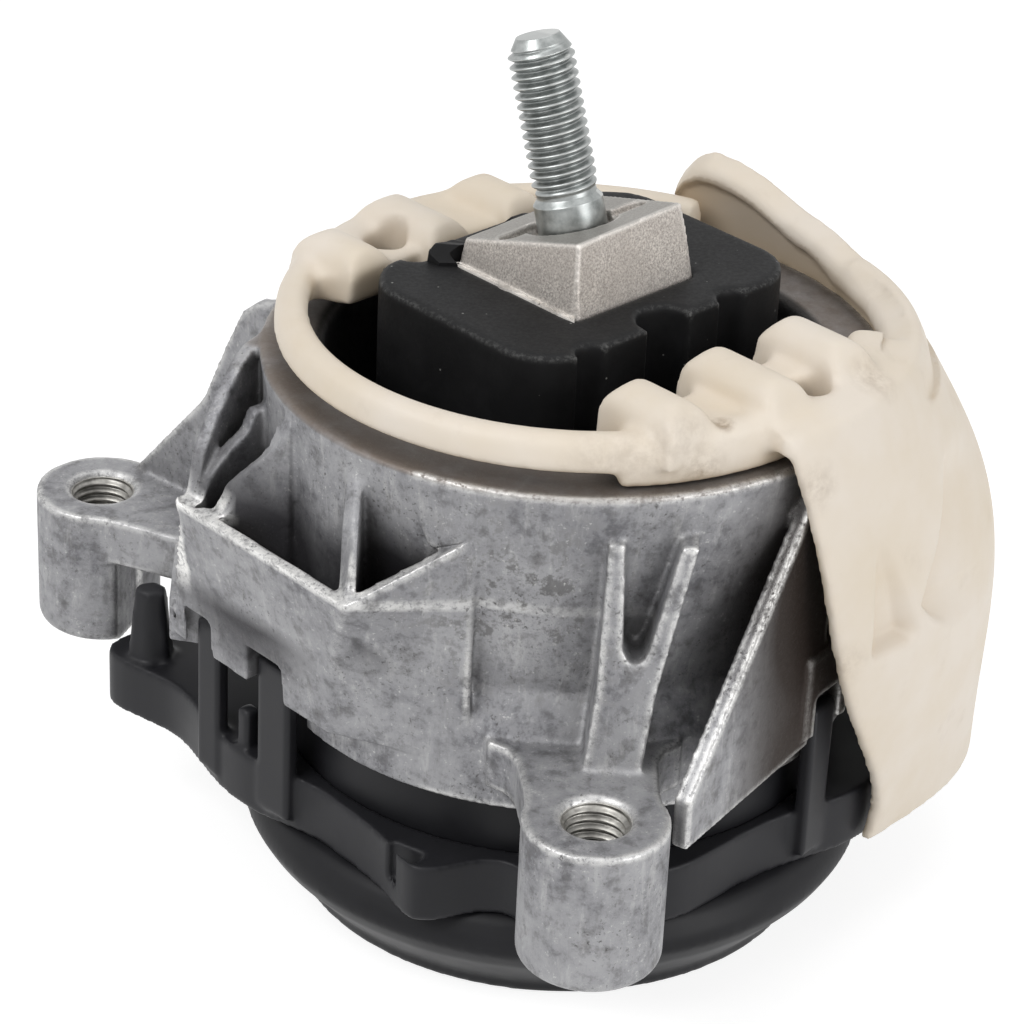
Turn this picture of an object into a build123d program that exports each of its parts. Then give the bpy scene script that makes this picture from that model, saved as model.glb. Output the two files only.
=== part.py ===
from build123d import *
import os
from math import cos, sin, radians, degrees, atan2, hypot

# Hydraulic engine mount, millimetres, +Z up.
# The origin is on the housing axis at the flat bottom of the lower cup.
# X runs to the right and Y to the rear of the usual front view.

# Levels along the housing axis
cup_band = 2.2
ring_z = 17.5
ring_height = 9.5
skirt_z = 36.0
web_z = 40.0
lug_z = 48.0
shelf_rise = 6.6
flange_z = 89.6

# Housing casting
flange_r = 47.6
flange_edge = 0.5
shelf_r = 46.0
collar_step = 2.6
waist_r = 42.4
bore_r = 39.0
mouth_r = 38.0
mouth_depth = 24.0
mouth_round = 1.6

# Bolting lugs, each with a threaded hole for an M10 bolt from below
boss_r = 10.65
boss_drop = 23.5
boss_round = 2.0
lug_hole_r = 5.0
lug_chamfer = 0.7
front_lug = (5.5, -64.5)
left_lug = (-75.0, 25.0)
rear_lug = (52.0, 50.0)
web_half = 9.7
web_root_round = 4.0
front_flare = 0.6
left_flare = 2.0
boss_flat = 6.4

# Pocket box between the left lug and the front of the housing
box_left = (-60.6, -9.0)
box_front = (-34.4, -36.5)
box_right = (-13.0, -44.0)
box_bottom_z = 42.0
box_floor_z = 50.0
box_rim_z = 69.5
box_lean = (2.8, -9.8)
lean_power = 1.6
box_wall = 2.6
box_rim_wall = 1.7
box_land_z = 80.5
rim_drop = 1.2
plate_root = (-41.6, -22.6)
rib_root = (-31.0, -33.5)
backing_low_r = 45.8
backing_top_r = 47.2
backing_from = 172
backing_to = 227

# Lower cup
cup_r = 41.7
cup_bulge_r = 49.6
cup_bulge_z = 12.0
cup_wall = 2.5
collar_wall = 3.0
shoulder_step = 2.8

# Clips of the black retaining ring
arm_top_z = 46.0
arm_thick = 2.4
arm_gap = 0.5
arm_stand = 2.6
arm_line = [(-27.8, 5.4), (-11.8, 7.4)]
post_place = -20.0
post_width = 2.6
post_top_z = 34.0
right_arms = (-35.0, 68.0, 120.0)
right_arm_width = 6.0
stop_top_z = 39.5
stop_draft = 5.0
arm_foot = 2.0
notch_room = 2.5
notch_depth = 3.0
clip_seat_root = 3.0
clip_seat_stand = 3.2
clip_seat_low_z = 56.0
clip_seat_high_z = 60.0
clip_seat_width = 12.0

# Core, stud and rubber
core_turn = 45.0
core_side = 26.2
core_centre = (-0.5, 6.0)
core_foot_z = 98.0
core_draft = 10.0
stud_base = (-1.46, 5.0, 107.99)
stud_slope = (-0.235, 0.185)
stud_r = 5.0
stud_shank_r = 5.3
stud_collar = 4.4
stud_out = 28.8
stud_in = 16.0
stud_chamfer = 1.3
block_u = (-23.6, 32.0)
block_v = (-24.2, 17.0)
block_top_z = 100.0
block_foot_z = 72.0
block_round = 9.2

# Heat shield: ring, hood and apron, one moulding
shield_gap = 2.3
shield_out_r = 45.6
shield_in_r = 40.2
shield_height = 5.7
lobe_z = 101.6
left_lobe_z = 100.8
lobe_half = 4.3
lobe_pitch = 16.3
apron_wall = 2.2
hood_in_r = 47.2
hood_out_r = 51.5
shield_hole_r = 3.3
right_land_in = 30.5
left_land_in = 28.6
land_edge_r = 39.0
land_out_r = 44.2
apron_root_in_r = 44.8
apron_root_out_r = 49.6
apron_root_z = 96.0

# Clearances between pieces that seat on each other
seat = 0.05

skew = radians(core_turn)
along_u = (cos(skew), sin(skew))
along_v = (sin(skew), -cos(skew))


def uv(u, v):
    """Plan point from distances along the two directions of the core's sides."""
    return (u * along_u[0] + v * along_v[0], u * along_u[1] + v * along_v[1])


def polar(radius, azimuth):
    return (radius * cos(radians(azimuth)), radius * sin(radians(azimuth)))


def turned(points):
    """Solid turned about the housing axis from (radius, height) points."""
    face = Plane.XZ * make_face(Polyline(*points, close=True))
    return revolve(face, Axis.Z, 360)


def prism(points, low, high):
    """Upright prism on a plan outline between two heights."""
    face = Plane.XY.offset(low) * make_face(Polyline(*points, close=True))
    return extrude(face, high - low)


def upright(start, end):
    """Vertical plane through two plan points, with its x axis from start to end."""
    dx, dy = end[0] - start[0], end[1] - start[1]
    return Plane(origin=(start[0], start[1], 0), x_dir=(dx, dy, 0), z_dir=(dy, -dx, 0))


def gusset(start, end, profile, thickness):
    """Plate in the vertical plane from start to end; profile is (distance, height)."""
    face = upright(start, end) * make_face(Polyline(*profile, close=True))
    return extrude(face, thickness / 2, both=True)


def span(a, b):
    return hypot(b[0] - a[0], b[1] - a[1])


def toward(a, b, distance):
    """Point at a distance from a on the way to b."""
    share = distance / span(a, b)
    return (a[0] + (b[0] - a[0]) * share, a[1] + (b[1] - a[1]) * share)


def beside(a, b, distance, side):
    """Point at a distance from a toward b, shifted square to that line."""
    base = toward(a, b, distance)
    length = span(a, b)
    nx, ny = -(b[1] - a[1]) / length, (b[0] - a[0]) / length
    return (base[0] + nx * side, base[1] + ny * side)


# Housing body, turned
def waist_at(height):
    """Outer radius of the tapered housing wall at a height."""
    low = lug_z + shelf_rise
    return waist_r + (flange_r - waist_r) * (height - low) / (flange_z - flange_edge - low)


body_outline = [
    (bore_r, skirt_z),
    (shelf_r, skirt_z),
    (shelf_r, lug_z),
    (waist_r, lug_z + shelf_rise),
    (flange_r, flange_z - flange_edge),
    (flange_r - flange_edge, flange_z),
    (mouth_r + mouth_round, flange_z),
    (mouth_r + mouth_round * 0.3, flange_z - mouth_round * 0.3),
    (mouth_r, flange_z - mouth_round),
    (mouth_r, flange_z - mouth_depth),
    (bore_r, flange_z - mouth_depth - 2),
]
body = turned(body_outline)
hollow = turned([(0, skirt_z - 20), (bore_r, skirt_z - 20), (bore_r, flange_z - mouth_depth - 2),
                 (mouth_r, flange_z - mouth_depth), (mouth_r, flange_z + 5), (0, flange_z + 5)])


# Lugs: boss, web and threaded hole
def lug(centre, flare):
    """Boss with a flat toward the housing, and the web that carries it."""
    axis_point = (0.0, 0.0)
    boss = Pos(centre[0], centre[1], lug_z - boss_drop) * Cylinder(
        boss_r, boss_drop, align=(Align.CENTER, Align.CENTER, Align.MIN))
    boss = fillet(boss.edges().group_by(Axis.Z)[0], boss_round)
    reach = span(centre, axis_point)
    cut = [beside(centre, axis_point, boss_flat, -2 * boss_r), beside(centre, axis_point, boss_flat, 2 * boss_r),
           beside(centre, axis_point, 3 * boss_flat, 2 * boss_r), beside(centre, axis_point, 3 * boss_flat, -2 * boss_r)]
    boss -= prism(cut, 0, web_z)
    skirt = reach - shelf_r
    sides = [(0, web_half + 0.5), (boss_flat, web_half), (skirt - web_root_round, web_half + flare),
             (skirt - web_root_round * 0.3, web_half + flare + web_root_round * 0.3),
             (skirt + 1, web_half + flare + web_root_round), (reach - bore_r - 1, web_half + flare + web_root_round)]
    outline = [beside(centre, axis_point, run, half) for run, half in sides]
    outline += [beside(centre, axis_point, run, -half) for run, half in reversed(sides)]
    return boss + prism(outline, web_z, lug_z)


def lug_hole(centre):
    hole = Pos(centre[0], centre[1], lug_z - boss_drop - 1) * Cylinder(
        lug_hole_r, boss_drop + 2, align=(Align.CENTER, Align.CENTER, Align.MIN))
    for height, turn in ((lug_z, 0), (lug_z - boss_drop, 180)):
        cone = Cone(lug_hole_r, lug_hole_r + lug_chamfer, lug_chamfer,
                    align=(Align.CENTER, Align.CENTER, Align.MAX))
        hole += Pos(centre[0], centre[1], height) * Rot(turn, 0, 0) * cone
    return hole


# Pocket box: two pockets open to the top, parted by a rib; its front leans outward
def leaned(corner, height):
    """Plan place of a front corner at a height; the wall curves outward as it rises."""
    share = min(1, (height - box_bottom_z) / (box_rim_z - box_bottom_z)) ** lean_power
    return (corner[0] + box_lean[0] * share, corner[1] + box_lean[1] * share)


def wall_at(height):
    """Thickness of the box's front wall, thinner toward the rim."""
    share = (height - box_floor_z) / (box_rim_z - box_floor_z)
    return max(box_wall + (box_rim_wall - box_wall) * share, box_rim_wall)


def box_section(height, wall):
    """Plan of the box at a height, drawn in by a wall thickness."""
    inside = polar(bore_r / 2, (backing_from + backing_to) / 2)
    face = make_face(Polyline(leaned(box_left, height), leaned(box_front, height), box_right, inside,
                              plate_root, close=True))
    return Pos(0, 0, height) * (offset(face, -wall, kind=Kind.INTERSECTION) if wall else face)


def above(first, second, third):
    """Space above the plane through three points."""
    a, b, c = Vector(*first), Vector(*second), Vector(*third)
    normal = (b - a).cross(c - a).normalized()
    normal = normal if normal.Z > 0 else normal * -1
    side = 4 * flange_r
    return Plane(origin=a, x_dir=b - a, z_dir=normal) * Box(
        side, side, side, align=(Align.CENTER, Align.CENTER, Align.MIN))


def pocket_box():
    top = flange_z + 2
    left = leaned(box_left, box_rim_z)
    front = leaned(box_front, box_rim_z)
    heights = (box_floor_z, box_floor_z + 6, box_rim_z - 6, box_rim_z, top)
    block = loft([box_section(z, 0) for z in (box_bottom_z, *heights)], ruled=True)
    shell = block - loft([box_section(z, wall_at(z)) for z in heights], ruled=True)
    reach = span(rib_root, front)
    rib = gusset(rib_root, front, [(-12, box_bottom_z), (reach, box_bottom_z), (reach, top), (-12, top)], box_wall)
    rib = rib & block
    land = prism([toward(box_right, box_front, 8), box_right, polar(waist_r, -104), polar(waist_r, -115)],
                 box_land_z - 6, box_land_z)
    rim_z = flange_z - rim_drop
    solid = shell + rib + land
    solid -= above((*left, box_rim_z), (*front, box_rim_z), (*rib_root, rim_z))
    solid -= above((*front, box_rim_z), (*rib_root, rim_z), (*box_right, box_land_z))
    solid -= above((0, 0, rim_z), (flange_r, 0, rim_z), (0, flange_r, rim_z))
    backing = turned([(bore_r - 1, box_bottom_z), (backing_low_r, box_bottom_z), (backing_top_r, flange_z - 1),
                      (bore_r - 1, flange_z - 1)])
    backing = backing & prism([(0, 0), polar(2 * bore_r, backing_from), polar(2 * bore_r, 200),
                               polar(2 * bore_r, backing_to)], box_bottom_z, flange_z - 1)
    return solid + backing


# Gussets of the left lug
back_root = (-44.5, 12.5)
back_foot = (-69.5, 33.0)
side_root = (-47.4, 0.0)
low_root = (-45.0, -8.5)


gusset_wall = 2.4


def left_gussets():
    corner = leaned(box_left, box_rim_z)
    back_run = span(back_root, back_foot)
    back = gusset(back_root, back_foot, [(-6, web_z), (back_run, web_z), (back_run, lug_z + 0.4),
                                         (18.2, 64.9), (16.8, 66.8), (12.2, 77.2), (8.5, 84.7),
                                         (5.3, 87.4), (0, flange_z - 0.8), (-6, flange_z - 0.8)], box_wall)
    side_run = span(side_root, corner)
    side = gusset(side_root, corner, [(-8, web_z), (8, web_z), (side_run, box_rim_z),
                                      (side_run, box_rim_z + 1), (18.5, 74.3), (14.2, 80), (10, 84.5), (6.7, 87.3),
                                      (3, flange_z - 0.6), (-8, flange_z - 0.6)], gusset_wall)
    low_run = span(low_root, corner)
    low = gusset(low_root, corner, [(-5, web_z), (8, web_z), (low_run, box_rim_z),
                                    (12.4, 73), (8.4, 76.9), (5.2, 79), (3.6, 82.3), (-5, 82.3)], gusset_wall)
    floor = prism([box_left, (-61.4, 8.0), (-50.0, 8.0), (-44.0, -12.0)], web_z, lug_z)
    return back + side + low + floor


# Slotted rib and diagonal strut above the front lug
def slotted_rib():
    """Tapering rib from the flange to the front lug, with a V slot from the top."""
    plane = Plane(origin=(10.0, 0, 0), x_dir=(1, 0, 0), z_dir=(0, -1, 0))
    outline = plane * make_face(Polyline((-4.6, 82.5), (8.2, 82.5), (3.4, 60), (1.8, lug_z - 1),
                                         (-6.6, lug_z - 1), (-5.2, 60), close=True))
    solid = extrude(outline, 60)
    lean = gusset((8.0, 0), (8.0, -60), [(38, web_z), (52.8, web_z), (52.8, lug_z), (47.6, 82.5), (38, 82.5)], 30)
    slot = plane * make_face(Polyline((-2.2, 83.5), (6.0, 83.5), (1.9, 66.5), (0.9, 64.6), (-0.6, 64.6),
                                      (-1.7, 66.5), close=True))
    return (solid & lean) - extrude(slot, 60)


def diagonal_strut():
    root = (36.0, -30.5)
    foot = (17.6, -59.6)
    run = span(root, foot)
    return gusset(root, foot, [(-4, web_z), (run, web_z), (run, lug_z), (1.5, flange_z - 3),
                               (0, flange_z - 1.2), (-4, flange_z - 1.2)], 2.7)


def rear_gussets():
    """Two ribs that carry the hidden lug from the flange."""
    solids = Part()
    for side in (-1, 1):
        foot = beside(rear_lug, (0, 0), 0, side * (boss_r - 1.4))
        root = beside(rear_lug, (0, 0), span(rear_lug, (0, 0)) - flange_r + 3.5, side * 12)
        run = span(root, foot)
        solids += gusset(root, foot, [(-4, web_z), (run, web_z), (run, lug_z), (run * 0.55, 60),
                                      (0, flange_z - 1.2), (-4, flange_z - 1.2)], 2.7)
    return solids


def clip_seat(azimuth):
    """Small block on the skirt that a retaining arm hooks under."""
    base = polar(shelf_r - clip_seat_root, azimuth)
    tip = polar(shelf_r + clip_seat_stand, azimuth)
    run = clip_seat_root + clip_seat_stand
    return gusset(base, tip, [(0, box_bottom_z), (run, box_bottom_z), (run, clip_seat_low_z), (0, clip_seat_high_z)],
                  clip_seat_width)


# Housing assembly
wall_dir = (0.688, -0.725)
wall_out = (-0.725, -0.688)
arm_face = shelf_r + arm_stand


def arm_point(t, distance):
    return (wall_dir[0] * t + wall_out[0] * distance, wall_dir[1] * t + wall_out[1] * distance)


def arm_block(t, width, inner, outer, low, high):
    corners = [arm_point(t - width / 2, inner), arm_point(t + width / 2, inner),
               arm_point(t + width / 2, outer), arm_point(t - width / 2, outer)]
    return prism(corners, low, high)


def radial_block(azimuth, width, inner, outer, low, high):
    a, b = polar(inner, azimuth), polar(outer, azimuth)
    return gusset(a, b, [(0, low), (outer - inner, low), (outer - inner, high), (0, high)], width)


housing = body + lug(front_lug, front_flare) + lug(left_lug, left_flare) + lug(rear_lug, left_flare)
housing += pocket_box() + left_gussets() + slotted_rib() + diagonal_strut() + rear_gussets()
for azimuth in right_arms:
    housing += clip_seat(azimuth)
housing -= hollow
for t, width in arm_line:
    housing -= arm_block(t, width + 2 * arm_gap, arm_face - arm_thick - notch_depth, arm_face + 6,
                         skirt_z, arm_top_z + notch_room)
for azimuth in right_arms:
    housing -= radial_block(azimuth, right_arm_width + 2 * arm_gap, shelf_r + 0.01, shelf_r + 8, skirt_z,
                            arm_top_z + notch_room)
for centre in (front_lug, left_lug, rear_lug):
    housing -= lug_hole(centre)

# Lower cup: flat foot, bulged wall, collar that carries the housing skirt
collar_r = shelf_r - collar_step
cup_shoulder_r = collar_r + shoulder_step
cup = turned([(0, 0), (cup_r - 0.6, 0), (cup_r, 0.6), (cup_r, cup_band), (cup_bulge_r - 1.6, cup_bulge_z - 2.8),
              (cup_bulge_r, cup_bulge_z), (cup_bulge_r - 0.4, cup_bulge_z + 2), (cup_shoulder_r + 1.4, ring_z - 0.9),
              (cup_shoulder_r, ring_z), (collar_r, ring_z), (collar_r, skirt_z - seat),
              (collar_r - collar_wall, skirt_z - seat), (collar_r - collar_wall, ring_z - 2),
              (cup_r - cup_wall, cup_band + cup_wall), (cup_r - 2 * cup_wall, cup_wall), (0, cup_wall)])


# Retaining ring with lobes, arms and triangular holes; stations are (azimuth, distance beyond the shelf)
ring_stations = [
    (-96, 1.6), (-103, 1.2), (-112, 6.6), (-120, 3.2), (-134, 0.0), (-142, 0.2), (-154, 4.7),
    (-167, 9.2), (-179, 14.8), (176, 22.6), (172.5, 27.0), (168, 24.5), (163, 17.0), (154, 7.0),
    (142, 1.4), (128, 2.0), (118, 5.0), (106, 1.4), (88, 0.6), (70, 1.4), (60, 5.0), (48, 1.4),
    (28, 1.2), (8, 3.0), (-10, 7.0), (-24, 6.0), (-37, 1.2), (-48, -0.4), (-58, 0.8), (-68, 3.0),
    (-82, 3.2),
]


def ring_outline():
    points = [polar(shelf_r + beyond, azimuth) for azimuth, beyond in ring_stations]
    return make_face(Spline(*points, periodic=True))


ring = Pos(0, 0, ring_z) * extrude(ring_outline(), ring_height)
ring -= Pos(0, 0, ring_z - 1) * extrude(Circle(collar_r + seat), ring_height + 2)
for corners in ([(-63.5, 3.5), (-70.0, 8.0), (-63.0, 12.5)], [(-27.0, -40.0), (-18.6, -45.0), (-20.6, -47.6)]):
    hole = fillet(make_face(Polyline(*corners, close=True)).vertices(), 0.7)
    ring -= Pos(0, 0, ring_z + 3) * extrude(hole, ring_height)
for t, width in arm_line:
    ring += arm_block(t, width, arm_face - arm_thick, arm_face, ring_z + arm_foot, arm_top_z)
ring += arm_block(post_place, post_width, arm_face - 1.3 * post_width, arm_face - 0.3 * post_width,
                  ring_z + arm_foot, post_top_z)
for azimuth in right_arms:
    ring += radial_block(azimuth, right_arm_width, shelf_r + 0.6, shelf_r + 0.6 + arm_thick, ring_z + arm_foot,
                         arm_top_z)
stop_foot = make_face(Polyline((-69.8, 6.5), (-66, 4.2), (-61.6, 5.2), (-61, 9.6), (-64.6, 12.4), (-69, 10.8), close=True))
ring += extrude(Pos(0, 0, ring_z + arm_foot) * stop_foot, stop_top_z - ring_z - arm_foot, taper=stop_draft)

# Inner unit: sleeve, spring, channel plates, membrane and bellows
sleeve_low = 42.0
sleeve_high = 60.0
sleeve_wall = 2.0
sleeve_r = bore_r - seat
sleeve = turned([(sleeve_r - sleeve_wall, sleeve_low), (sleeve_r, sleeve_low), (sleeve_r, sleeve_high),
                 (sleeve_r - sleeve_wall, sleeve_high)])

core_plane = Plane(origin=(core_centre[0], core_centre[1], core_foot_z), x_dir=(along_u[0], along_u[1], 0),
                   z_dir=(0, 0, 1))
frustum = extrude(core_plane * fillet(Rectangle(core_side, core_side).vertices(), 1.6), 20, taper=core_draft)
stud_axis = Vector(stud_slope[0], stud_slope[1], 1).normalized()
stud_foot = Vector(*stud_base)
cutter_plane = Plane(origin=stud_foot, x_dir=Vector(1, 0, -stud_slope[0]), z_dir=stud_axis)
frustum -= extrude(cutter_plane * Rectangle(80, 80), 30)
shank_low = 66.0
shank = loft([core_plane * Rectangle(core_side - 1.6, core_side - 1.6),
              Plane(origin=(0, 0, shank_low), x_dir=(along_u[0], along_u[1], 0), z_dir=(0, 0, 1))
              * Rectangle(16, 16)])
stud_plane = Plane(origin=stud_foot - stud_axis * stud_in, z_dir=stud_axis)
stud_hole = extrude(stud_plane * Circle(stud_shank_r + seat), 40)
pocket_shape = SlotOverall(9.0, 3.2)
core = frustum + shank - stud_hole
recess = make_face(Ellipse(7.0, 6.2).edges())
core -= extrude(cutter_plane * recess, -2.2)
for u in (-7.4, 7.4):
    core -= extrude(cutter_plane * Pos(u, 1.5 + 0.2 * u, 0) * Rot(0, 0, 45) * pocket_shape, -1.4)

stud = extrude(stud_plane * Circle(stud_shank_r), stud_in + stud_collar)
stud += extrude(stud_plane * Circle(stud_r), stud_in + stud_out)
stud = chamfer(stud.faces().sort_by(Axis.Z)[-1].edges(), stud_chamfer)

# Rubber spring and stop block, one moulding
block_size = (block_u[1] - block_u[0], block_v[1] - block_v[0])
block_mid = uv((block_u[0] + block_u[1]) / 2, (block_v[0] + block_v[1]) / 2)
block_plane = Plane(origin=(block_mid[0], block_mid[1], block_foot_z), x_dir=(along_u[0], along_u[1], 0),
                    z_dir=(0, 0, 1))
block_face = fillet(Rectangle(*block_size).vertices(), block_round)
grooves = [(1, -14.0, 2.6, 2.4), (1, 2.0, 4.4, 5.2), (1, 15.5, 2.6, 2.2), (-1, -11.4, 2.6, 3.0), (-1, 15.5, 2.6, 2.2)]
for side, u, radius, depth in grooves:
    shift = u - (block_u[0] + block_u[1]) / 2
    edge = block_size[1] / 2
    block_face -= Pos(shift, -side * (edge - depth + radius), 0) * Circle(radius)
    block_face -= Pos(shift, -side * (edge + 2), 0) * Rectangle(2 * radius, 2 * (depth - radius + 2))
block = extrude(block_plane * block_face, block_top_z - block_foot_z)
spring_cone = turned([(sleeve_r - sleeve_wall, sleeve_low), (sleeve_r - sleeve_wall, sleeve_high - 2),
                      (30.0, 66.0), (23.0, block_foot_z + 3), (0, block_foot_z + 3), (0, 60), (10, 60),
                      (24, 50), (sleeve_r - sleeve_wall - 3, sleeve_low)])
rubber = block + spring_cone - frustum - shank - stud_hole

plate_r = bore_r - seat
upper_plate = turned([(0, 38.5), (plate_r, 38.5), (plate_r, sleeve_low), (32, sleeve_low), (31, 41), (0, 41)])
lower_plate = turned([(0, 33.0), (plate_r, 33.0), (plate_r, 38.5), (26, 38.5), (26, 36.5), (0, 36.5)])
for k in range(12):
    hole = Pos(*polar(16, 30 * k), 30) * Cylinder(2.4, 20, align=(Align.CENTER, Align.CENTER, Align.MIN))
    upper_plate -= hole
    lower_plate -= hole
lower_plate -= turned([(29, 36.6), (35, 36.6), (35, 38.5), (29, 38.5)])
membrane = turned([(0, 36.5 + seat), (25.6, 36.5 + seat), (25.6, 38.5 - seat), (0, 38.5 - seat)])
bellows_low = 33.0
bellows_lip = 28.4
bellows_r = 35.2
bellows_wall = 1.8
bellows = turned([(plate_r, bellows_low), (bellows_r - bellows_wall, bellows_low), (bellows_r - bellows_wall, 24.5),
                  (28, 11), (20, 8), (0, 12), (0, 10.4), (20.5, 6.4), (29.4, 9.8), (bellows_r, 23.4),
                  (bellows_r, bellows_lip), (plate_r, bellows_lip)])
bellows_ring_r = collar_r - collar_wall - seat
bellows_ring_low = 26.0
bellows_ring_in = bellows_r + 4 * seat
bellows_ring = turned([(bellows_ring_in, bellows_ring_low), (bellows_ring_r, bellows_ring_low),
                       (bellows_ring_r, bellows_low), (plate_r + 4 * seat, bellows_low),
                       (plate_r + 4 * seat, bellows_lip - seat), (bellows_ring_in, bellows_lip - seat)])

# Heat shield
shield_low = flange_z + shield_gap
shield_top = shield_low + shield_height
shield = turned([(shield_in_r + 0.8, shield_low), (shield_out_r - 0.6, shield_low),
                 (shield_out_r, shield_low + 0.8), (shield_out_r - 0.4, shield_top - 1.4),
                 (shield_out_r - 1.6, shield_top), (shield_in_r + 1.4, shield_top),
                 (shield_in_r, shield_top - 1.6)])
open_sector = [(0, 0), polar(80, -6), polar(80, 20), polar(80, 45), polar(80, 64)]
shield -= prism(open_sector, shield_low - 1, shield_top + 1)


def lobe(u, inner, outer, crown_z):
    """Raised tooth across the ring, round on top; its ridge runs along the v direction."""
    start, end = uv(u, inner), uv(u, outer)
    run = abs(outer - inner)
    low = shield_low + 1
    foot, crown, drop = lobe_half + 0.9, lobe_half, 3.0
    brow = crown_z - drop
    lines = Polyline((-crown, brow), (-foot, low), (foot, low), (crown, brow))
    arc = ThreePointArc((crown, brow), (0, crown_z), (-crown, brow))
    along = ((end[0] - start[0]) / run, (end[1] - start[1]) / run)
    plane = Plane(origin=(start[0], start[1], 0), x_dir=(-along[1], along[0], 0), z_dir=(along[0], along[1], 0))
    tooth = extrude(plane * make_face(Wire([*lines.edges(), *arc.edges()])), run)
    side = gusset(start, end, [(0, low), (run, low), (run, shield_top - 0.4), (run - 1.5, crown_z - 1.4),
                               (run - 4.2, crown_z + 0.2), (2.6, crown_z + 0.2), (0, brow)], 20)
    return tooth & side


for index in (-1, 0, 1):
    u_right = -1.8 + index * lobe_pitch
    shield += lobe(u_right, 26.5, (45.4 ** 2 - u_right ** 2) ** 0.5, lobe_z)
    u_left = -1.0 + index * lobe_pitch
    shield += lobe(u_left, -26.4, -(44.6 ** 2 - u_left ** 2) ** 0.5, left_lobe_z)
for side, inner in ((1, right_land_in), (-1, -left_land_in)):
    chord = [uv(-22, inner), uv(19, inner), uv(22, side * land_edge_r), uv(8, side * land_out_r),
             uv(-8, side * land_out_r), uv(-25, side * (land_edge_r - 2))]
    shield += prism(chord, shield_low + 0.4, shield_top - 0.6)
for u, v in ((6.8, 40.4), (-6.8, -35.4)):
    shield -= Pos(*uv(u, v), shield_low - 1) * Cylinder(shield_hole_r, 20, align=(Align.CENTER, Align.CENTER, Align.MIN))
skirt_arc = [polar(45.2, a) for a in range(-82, -43, 4)] + [polar(42.8, a) for a in range(-46, -83, -4)]
shield += prism(skirt_arc, flange_z, shield_low + 1)


def band(height, stations, wall):
    """Closed curved band at a height through (azimuth, radius) stations."""
    outer = [polar(r, a) for a, r in stations]
    inner = [polar(r - wall, a) for a, r in reversed(stations)]
    wire = Wire([Spline(*outer), Line(outer[-1], inner[0]), Spline(*inner), Line(inner[-1], outer[0])])
    return Pos(0, 0, height) * make_face(wire)


apron_levels = [
    (18.0, [(-25, 54.3), (-10, 60.9), (3, 67.1), (16, 68.6), (28, 67.0)]),
    (40.0, [(-33, 55.5), (-14, 61.6), (2, 67.4), (16, 68.4), (28, 66.6)]),
    (60.0, [(-42, 54.4), (-21, 60.0), (1, 66.6), (16, 67.0), (28, 65.0)]),
    (77.0, [(-46.5, 53.0), (-25, 56.4), (-2, 61.4), (14, 61.4), (28, 59.6)]),
    (88.0, [(-50, 51.4), (-29, 53.0), (-4, 55.6), (13, 55.4), (28, 54.4)]),
    (96.0, [(-52, 49.4), (-30, 50.0), (-6, 51.4), (12, 51.4), (28, 50.6)]),
]
apron = loft([band(z, stations, apron_wall) for z, stations in apron_levels])

hood_stations = [(71, 98.6), (68, 102.2), (65, 103.6), (60, 103.0), (54, 101.4), (46, 98.8), (37, 97.4), (27, 95.8),
                 (16, 95.0), (5, 95.6), (-8, 95.8)]


def hood_section(azimuth, top):
    """Upright section of the hood's wall, with a rounded lip that is higher outside."""
    outline = [(hood_in_r, flange_z + 0.4), (hood_out_r - 1.4, flange_z + 0.4), (hood_out_r, top - 2.4),
               (hood_out_r - 0.2, top - 0.9), (hood_out_r - 1.1, top), (hood_in_r + 2.0, top - 0.6),
               (hood_in_r + 0.6, top - 1.6), (hood_in_r, top - 3)]
    return upright((0, 0), polar(1, azimuth)) * make_face(Polyline(*outline, close=True))


def hood():
    """Wall round the rear right of the flange, highest at the rear."""
    return loft([hood_section(azimuth, top) for azimuth, top in hood_stations], ruled=True)


shield += apron + hood()
apron_root = turned([(apron_root_in_r, shield_low + 1), (apron_root_out_r, shield_low + 1),
                     (apron_root_out_r - 0.4, apron_root_z), (apron_root_in_r, shield_top)])
shield += apron_root & prism([(0, 0), polar(90, -53), polar(90, -30), polar(90, -6)], shield_low, shield_top + 1)

nodes = {
    "housing": housing,
    "lower_cup": cup,
    "clip_ring": ring,
    "outer_sleeve": sleeve,
    "core": core,
    "stud": stud,
    "rubber_spring": rubber,
    "upper_channel_plate": upper_plate,
    "lower_channel_plate": lower_plate,
    "decoupler_membrane": membrane,
    "bellows": bellows,
    "bellows_ring": bellows_ring,
    "heat_shield": shield,
}

os.makedirs("parts", exist_ok=True)
for name, solid in nodes.items():
    export_step(solid, "parts/" + name + ".step")
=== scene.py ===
from math import cos, pi, radians, sin

import bmesh
import bpy
import numpy as np
from bpy.props import FloatProperty, IntProperty, PointerProperty, StringProperty
from bpy.types import Operator, Panel, PropertyGroup
from mathutils import Matrix, Vector, noise


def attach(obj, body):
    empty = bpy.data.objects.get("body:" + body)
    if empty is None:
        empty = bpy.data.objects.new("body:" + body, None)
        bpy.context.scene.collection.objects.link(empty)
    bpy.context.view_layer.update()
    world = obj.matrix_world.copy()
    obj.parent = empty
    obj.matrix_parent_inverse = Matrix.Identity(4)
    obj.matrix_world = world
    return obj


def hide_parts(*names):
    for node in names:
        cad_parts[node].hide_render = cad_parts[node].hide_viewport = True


bl_info = {
    "name": "Hydraulic engine mount",
    "version": (1, 0, 0),
    "blender": (4, 5, 0),
    "location": "View3D > Sidebar > Engine mount",
    "description": "Dresses the packed engine mount with its cast, moulded and rubber surfaces",
    "category": "Object",
}

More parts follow.
